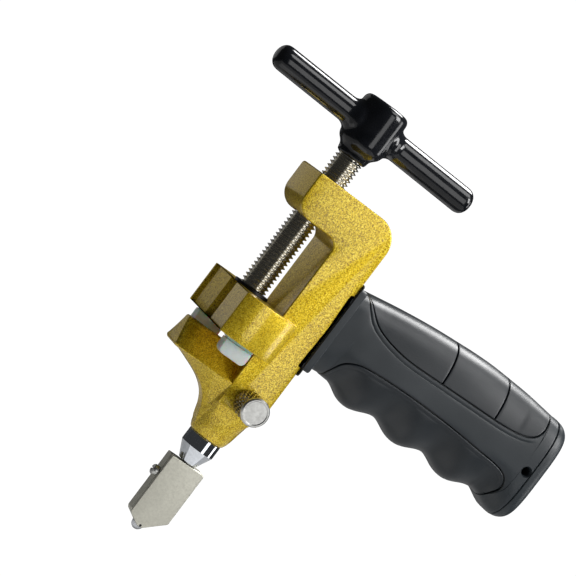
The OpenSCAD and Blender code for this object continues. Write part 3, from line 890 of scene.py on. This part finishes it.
def lengths(line):
    """Distance along a line to each of its points."""
    return np.concatenate([[0], np.cumsum(np.linalg.norm(np.diff(line, axis=0), axis=1))])


def along_line(line, x):
    return np.interp(x, line[:, 0], line[:, 1])


def grip_point(x, angle):
    """Point of the grip's skin; angle -90 is the bottom line, 0 the near side and 90 the top line.
    Near the butt the sections lean, so that the finger pad's rear edge can curl forward."""
    lean = smooth_step(78.0, 95.9, x) * (1 - smooth_step(95.9, 99.9, x))
    x = x - 3.3 * lean * smooth_step(0.25, 1.0, -np.sin(angle))
    top, low, half = (along_line(line, x) for line in (top_line, low_line, width_line))
    power = 2 / along_line(power_line, x)
    c, s = np.cos(angle), np.sin(angle)
    y = -half * np.sign(c) * np.abs(c) ** power
    rise = np.sign(s) * np.abs(s) ** power
    z = (top + low) / 2 + (top - low) / 2 * rise
    along = smooth_step(12.0, 21.0, x) * (1 - smooth_step(97.0, 101.0, x))
    wave = 0.5 + 0.5 * np.cos(2 * math.pi * (x - GROOVE_AT) / GROOVE_PITCH)
    under = smooth_step(0.15, 0.92, -rise)
    z = z + GROOVE_DEPTH * wave * along * under
    flank = smooth_step(0.10, 0.60, -rise) * (1 - 0.6 * smooth_step(0.8, 1.0, -rise))
    y = y * (1 - 0.12 * wave * along * flank)
    return np.stack([x + 0 * y, y, z], -1)


def grip_normal(x, angle):
    """Outward direction of the grip's skin."""
    along = grip_point(x + 0.02, angle) - grip_point(x - 0.02, angle)
    turn = np.clip(angle, -1.5 * math.pi + 0.01, 1.5 * math.pi - 0.01)
    around = grip_point(x, turn + 0.003) - grip_point(x, turn - 0.003)
    normal = np.cross(along, around)
    normal /= np.linalg.norm(normal, axis=1)[:, None] + 1e-9
    point = grip_point(x, angle)
    away = np.sum((point - (0, 0, 95)) * normal * (0, 1, 1), 1)
    return normal * np.sign(away)[:, None]


def seam_angle(line, x):
    """Angle at which a seam line crosses the section at x."""
    z = along_line(line, x)
    top, low = along_line(top_line, x), along_line(low_line, x)
    rise = np.clip((z - (top + low) / 2) / ((top - low) / 2), -1, 1)
    return np.arcsin(np.sign(rise) * np.abs(rise) ** (along_line(power_line, x) / 2))


def seam_stretch(line, x):
    """How much longer a step up the section is than a step square to the seam."""
    slope = (along_line(line, x + 0.05) - along_line(line, x - 0.05)) / 0.1
    return np.minimum(np.sqrt(1 + slope ** 2), 9.0)


LIP_ROWS = np.array([0, 0.1, 0.2, LIP])
BAND_ROWS = np.array([0.7, 1.1, 1.35, 1.6, 1.85, 2.2, 2.8]) - LIP
MIDDLE_ROWS = 26


def edge_rows(stretch, room):
    """Places of the mesh rows beside a seam, spread where the seam is steep and squeezed into
    the room there is."""
    rows = np.concatenate([LIP_ROWS * stretch, LIP * stretch + BAND_ROWS * min(stretch, 2.0)])
    return rows * min(1.0, 0.42 * room / rows[-1])


def relief(distance):
    """A low raised band beside a seam, closed by a shallow line."""
    return 0.16 * (1 - smooth_step(1.05, 1.5, distance)) - 0.16 * np.exp(-((distance - 1.6) / 0.22) ** 2)


def skin(stations, lower, upper, band_low=0, band_high=0, ends=(True, True)):
    """A closed shell of the grip's skin between two angles. lower(x) and upper(x) give
    (angle, has a seam there, stretch). band_low and band_high raise a band beside that seam."""
    outer, normal, drops, reliefs = [], [], [], []
    first, last = stations[0], stations[-1]
    for x in stations:
        a0, seam0, k0 = lower(x)
        a1, seam1, k1 = upper(x)
        angles = np.linspace(a0, a1, 160)
        line = grip_point(x, angles)
        length = lengths(line)
        total = length[-1]
        start = SEAM_GAP * k0 if seam0 else 0.0
        stop = SEAM_GAP * k1 if seam1 else 0.0
        room = max(total - start - stop, total * 0.2)
        start = min(start, total * 0.4)
        low_rows, high_rows = edge_rows(k0, room), edge_rows(k1, room)
        middle = np.linspace(low_rows[-1], room - high_rows[-1], MIDDLE_ROWS + 2)[1:-1]
        rows = np.concatenate([low_rows, middle, room - high_rows[::-1]])
        at = np.interp(start + rows, length, angles)
        outer.append(grip_point(x, at))
        normal.append(grip_normal(x, at))
        to_low = rows / k0 if seam0 else np.full_like(rows, 99.0)
        to_high = (room - rows) / k1 if seam1 else np.full_like(rows, 99.0)
        near = np.minimum(to_low, to_high)
        if ends[0]:
            near = np.minimum(near, x - first)
        if ends[1]:
            near = np.minimum(near, last - x)
        inside = np.clip(LIP - near, 0, LIP)
        drops.append(LIP - np.sqrt(LIP ** 2 - inside ** 2))
        fade = smooth_step(12.6, 16.0, x) * (1 - smooth_step(91.0, 95.0, x))
        reliefs.append(fade * (band_low * relief(to_low) + band_high * relief(to_high)))
    outer = np.array(outer)
    normal = np.array(normal)
    outer_skin = outer + normal * (np.array(reliefs) - np.array(drops))[:, :, None]
    inner_skin = outer - normal * SHELL
    n, m = outer.shape[:2]
    points = np.vstack([outer_skin.reshape(-1, 3), inner_skin.reshape(-1, 3)])
    faces = []
    for j in range(n - 1):
        for i in range(m - 1):
            a, b, c, d = j * m + i, j * m + i + 1, (j + 1) * m + i + 1, (j + 1) * m + i
            faces.append((a, b, c, d))
            faces.append((n * m + d, n * m + c, n * m + b, n * m + a))
    rim = [j * m for j in range(n)] + [(n - 1) * m + i for i in range(1, m)]
    rim += [j * m + m - 1 for j in range(n - 2, -1, -1)] + list(range(m - 2, 0, -1))
    for a, b in zip(rim, rim[1:] + rim[:1]):
        faces.append((a, b, n * m + b, n * m + a))
    return points, faces


def stations_of(line, low, high, step=0.8):
    """x places between low and high, closer where the seam is steep."""
    length = lengths(line)
    xs = np.interp(np.arange(0, length[-1], step), length, line[:, 0])
    return xs[(xs > low + 0.05) & (xs < high - 0.05)]


def with_ends(xs, low, high):
    """Adds the close stations that round an end's edge."""
    inside = xs[(xs > low + 0.6) & (xs < high - 0.6)]
    return np.unique(np.round(np.concatenate([low + LIP_ROWS, inside, high - LIP_ROWS]), 4))


def crossing(line, other):
    """First and last x at which line lies inside the section, short of other."""
    gap = (along_line(other, line[:, 0]) - line[:, 1]) * (1 if other is top_line else -1)
    inside = np.where(gap > 0.02)[0]
    return line[inside[0], 0], line[inside[-1], 0]


thumb_from, thumb_to = crossing(thumb_seam, top_line)
finger_from, finger_to = crossing(finger_seam, low_line)


def past_seam(x, first, last):
    """Stretch that fades out beyond a seam's ends, so that the mesh rows settle slowly."""
    return 1 + 8 * math.exp(-max(first - x, x - last) / 1.2)


def seam_edge(x, seam, first, last, beyond):
    """(angle, has a seam there, stretch) of a shell's edge; beyond is its angle past the seam."""
    if first < x < last:
        return seam_angle(seam, x), True, seam_stretch(seam, x)
    return beyond, False, past_seam(x, first, last)


def thumb_edge(x):
    return seam_edge(x, thumb_seam, thumb_from, thumb_to, math.pi / 2)


def finger_edge(x):
    return seam_edge(x, finger_seam, finger_from, finger_to, -math.pi / 2)


def mirrored(points, faces):
    return points * np.array((1, -1, 1)), [tuple(reversed(f)) for f in faces]


def ring_at(x, shrink, count=72):
    """Section ring at x, moved inwards by shrink."""
    angles = np.linspace(-math.pi, math.pi, count, endpoint=False)
    ring = grip_point(x, angles)
    flat = inset(ring[:, 1:], shrink) if shrink else ring[:, 1:]
    return np.column_stack([ring[:, 0], flat])


REAR_X = 95.95
HOLE_X = 98.0
HOLE_Z = 93.5
HOLE_R = 1.7
DISH_R = 2.0


def drilled(shape, tool):
    """A closed shape with a tool shape cut out of it, as points and faces again."""
    part = make("part", *shape)
    carve(part, [tool])
    points = np.array([tuple(v.co / MM) for v in part.data.vertices])
    faces = [tuple(f.vertices) for f in part.data.polygons]
    bpy.data.objects.remove(part)
    return points, faces


def build_grip():
    body_end = CAP_X - CAP_GAP
    xs = np.concatenate([stations_of(thumb_seam, FLANGE_X, body_end),
                         stations_of(finger_seam, FLANGE_X, body_end),
                         np.arange(FLANGE_X + 0.3, body_end, 0.8)])
    xs = np.unique(np.round(xs, 2))
    keep = [FLANGE_X - 0.4]
    for x in xs:
        if x - keep[-1] > 0.12:
            keep.append(x)
    xs = np.array(keep)
    xs = np.append(xs[xs < REAR_X - 0.1], REAR_X)
    near, near_faces = skin(xs, finger_edge, thumb_edge, 0, 1, (False, False))
    near = (near + (0, OVERLAP, 0), near_faces)
    core = tube_of([ring_at(x, SHELL - 0.25) for x in
                    np.append([FLANGE_X - 0.3], np.arange(13, REAR_X + 1, 1.5))])
    flange = slab(rectangle(-11.3, 11.3, 74.3, 111.7, 1.2), stem_half + 0.3, 8.9, 0.3, backward)
    step = slab(rectangle(-10.9, 10.9, 76.9, 110.2, 1.2), 8.3, FLANGE_X + 0.1, 0.45, backward)
    ribs = [slab(rectangle(-frame_half, frame_half, low + 0.15, high - 0.15, 0.2),
                 stem_half - 0.8, stem_half + 1, 0.1, backward) for low, high in NOTCHES]
    side = along_line(width_line, HOLE_X)
    dish = [(DISH_R + 0.2, side + 0.4), (DISH_R, side - 0.25), (HOLE_R, side - 0.6)]
    hole = turned([(0, -side - 1)] + [(r, -y) for r, y in [(DISH_R + 0.2, side + 1)] + dish]
                  + [(r, y) for r, y in reversed(dish)] + [(DISH_R + 0.2, side + 1), (0, side + 1)],
                  (HOLE_X, 0, HOLE_Z), "y", 40)
    edge = np.linspace(0, math.pi / 2, 4)
    rear = [ring_at(x, 0, 200) for x in np.append(np.arange(REAR_X, body_end - LIP, 0.5), body_end - LIP)]
    for turn in edge[1:]:
        ring = ring_at(body_end - LIP, LIP * (1 - math.cos(turn)), 200)
        ring[:, 0] += LIP * math.sin(turn)
        rear.append(ring)
    rear = drilled(tube_of(rear), hole)
    body = make("grip_shell", *joined([near, mirrored(*near), rear, core, flange, step] + ribs), 42)
    finish_piece(body, "frame", "grip_plastic", "grip_body")


def build_inserts():
    splits = [thumb_from, *PAD_SPLITS, thumb_to]
    names = ["front", "middle", "rear"]
    xs = stations_of(thumb_seam, thumb_from, thumb_to)
    for k, name in enumerate(names):
        low = splits[k] + (0.35 if k == 0 else SEAM_GAP)
        high = splits[k + 1] - (0.12 if k == 2 else SEAM_GAP)
        shape = skin(with_ends(xs, low, high), thumb_edge,
                     lambda x: (math.pi - thumb_edge(x)[0], True, thumb_edge(x)[2]))
        pad = make(f"thumb_insert_{name}", *shape, 42)
        finish_piece(pad, "frame", "grip_insert", f"thumb_pad_{name}")
    xs = stations_of(finger_seam, finger_from, finger_to, 0.6)
    stations = with_ends(xs, finger_from + 0.12, finger_to - 0.12)
    shape = skin(stations, lambda x: (-math.pi - finger_edge(x)[0], True, finger_edge(x)[2]),
                 finger_edge, 0.45, 0.45)
    pad = make("finger_insert", *shape, 42)
    finish_piece(pad, "frame", "grip_insert", "finger_pad")


def build_cap():
    start = CAP_X + CAP_GAP
    radius = 5.0
    rings = [ring_at(start + x, shrink) for x, shrink in
             ((0.3, SHELL), (0, SHELL), (0, LIP), (0.1, 0.1), (LIP, -0.1))]
    for a in np.linspace(0, math.pi / 2, 14):
        depth = radius * math.sin(a)
        shrink = radius * (1 - math.cos(a)) * 0.98
        if GRIP_END - radius + depth > start + LIP + 0.05:
            ring = ring_at(GRIP_END - radius, shrink)
            ring[:, 0] = GRIP_END - radius + depth
            rings.append(ring)
    cap = make("butt_end", *tube_of(rings), 42)
    finish_piece(cap, "frame", "grip_plastic", "butt_cap")


build_grip()
build_inserts()
build_cap()


# ------------ CAD nodes that stay
for node, slot in {"thrust_washer": "dark_steel", "retaining_clip": "dark_steel", "clamp_plug": "brass_plug",
                   "cutter_shank": "nickel_steel", "grip_bolts": "dark_steel",
                   "grip_washers": "nickel_steel"}.items():
    paint(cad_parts[node], slot)


# ------------ stage, light and camera
FLOOR_Z = -0.045
WHITE = 1.05


def white_to_camera(tree, lit, kind, output):
    """Shows plain white to the camera, and leaves the lit shader to every other ray."""
    path = tree.nodes.new("ShaderNodeLightPath")
    white = tree.nodes.new(kind)
    mix = tree.nodes.new("ShaderNodeMixShader")
    set_inputs(white, Color=(1, 1, 1, 1), Strength=WHITE)
    tree.links.new(path.outputs["Is Camera Ray"], mix.inputs["Fac"])
    tree.links.new(lit, mix.inputs[1])
    tree.links.new(white.outputs[0], mix.inputs[2])
    tree.links.new(mix.outputs["Shader"], tree.nodes[output].inputs["Surface"])


def build_stage():
    """A pale floor, low enough for the cutter to be drawn out of the nose above it."""
    side = 0.3
    floor_mesh = bpy.data.meshes.new("floor")
    corners = [(-side, -side, 0), (side, -side, 0), (side, side, 0), (-side, side, 0)]
    floor_mesh.from_pydata(corners, [], [(0, 1, 2, 3)])
    floor = add_object("floor", floor_mesh)
    floor.location = (0, 0, FLOOR_Z)
    material, shader = new_material("pale_floor", Roughness=0.9, Specular_IOR_Level=0.1)
    tone = add_noise(material, 4)
    add_ramp(shader, tone, [(0.3, 0.38), (0.7, 0.43)], "Base Color")
    white_to_camera(material.node_tree, shader.outputs["BSDF"], "ShaderNodeEmission", "Material Output")
    floor.data.materials.append(material)


def add_light(name, place, target, size, power):
    lamp = bpy.data.lights.new(name, "AREA")
    lamp.shape = "RECTANGLE"
    lamp.size, lamp.size_y = size
    lamp.energy = power
    holder = add_object(name, lamp)
    holder.location = place
    holder.rotation_euler = (Vector(target) - Vector(place)).to_track_quat("-Z", "Y").to_euler()


def build_world():
    world = bpy.data.worlds.new("studio")
    bpy.context.scene.world = world
    world.use_nodes = True
    background = world.node_tree.nodes["Background"]
    set_inputs(background, Color=(0.80, 0.82, 0.85, 1), Strength=0.05)
    white_to_camera(world.node_tree, background.outputs["Background"], "ShaderNodeBackground",
                    "World Output")


VIEW_AZIMUTH = math.radians(22)
VIEW_ELEVATION = math.radians(2)
VIEW_ROLL = math.radians(37)
VIEW_DISTANCE = 0.8667
VIEW_LENS = 162.5
AIM = Vector(((screw_x + 10.2) * MM, 0, 95.7 * MM))


def build_camera():
    back = Vector((-math.sin(VIEW_AZIMUTH) * math.cos(VIEW_ELEVATION),
                   -math.cos(VIEW_AZIMUTH) * math.cos(VIEW_ELEVATION), math.sin(VIEW_ELEVATION)))
    level = Vector((math.cos(VIEW_AZIMUTH), -math.sin(VIEW_AZIMUTH), 0))
    rise = back.cross(level)
    right = level * math.cos(VIEW_ROLL) + rise * math.sin(VIEW_ROLL)
    up = -level * math.sin(VIEW_ROLL) + rise * math.cos(VIEW_ROLL)
    lens = bpy.data.cameras.new("camera")
    lens.lens = VIEW_LENS
    lens.sensor_width = 36
    lens.clip_start = 0.01
    camera = add_object("camera", lens)
    turn = Matrix((right, up, back)).transposed().to_4x4()
    camera.matrix_world = Matrix.Translation(AIM + back * VIEW_DISTANCE) @ turn
    bpy.context.scene.camera = camera


build_stage()
build_world()
add_light("key", (0.86, -0.62, 0.62), (0, 0, 0.09), (0.42, 0.60), 8.6)
add_light("front", (0.40, -0.98, 0.16), (0, 0, 0.09), (0.34, 0.60), 1.25)
add_light("high_front", (0.38, -0.42, 0.95), (0, 0, 0.1), (0.60, 0.35), 2.6)
add_light("right_rim", (1.0, -0.15, 0.2), (0, 0, 0.09), (0.25, 0.6), 1.5)
add_light("table_glow", (-0.02, -0.085, FLOOR_Z + 0.003), (-0.02, -0.085, 0.1), (0.20, 0.14), 0.045)
add_light("overhead", (0.42, 0.36, 1.0), (0, 0, 0.1), (0.35, 0.45), 9.0)
add_light("back_left", (-0.5, 1.0, 0.32), (0, 0, 0.1), (0.8, 0.8), 0.75)
build_camera()
bpy.context.scene.view_settings.view_transform = "Standard"
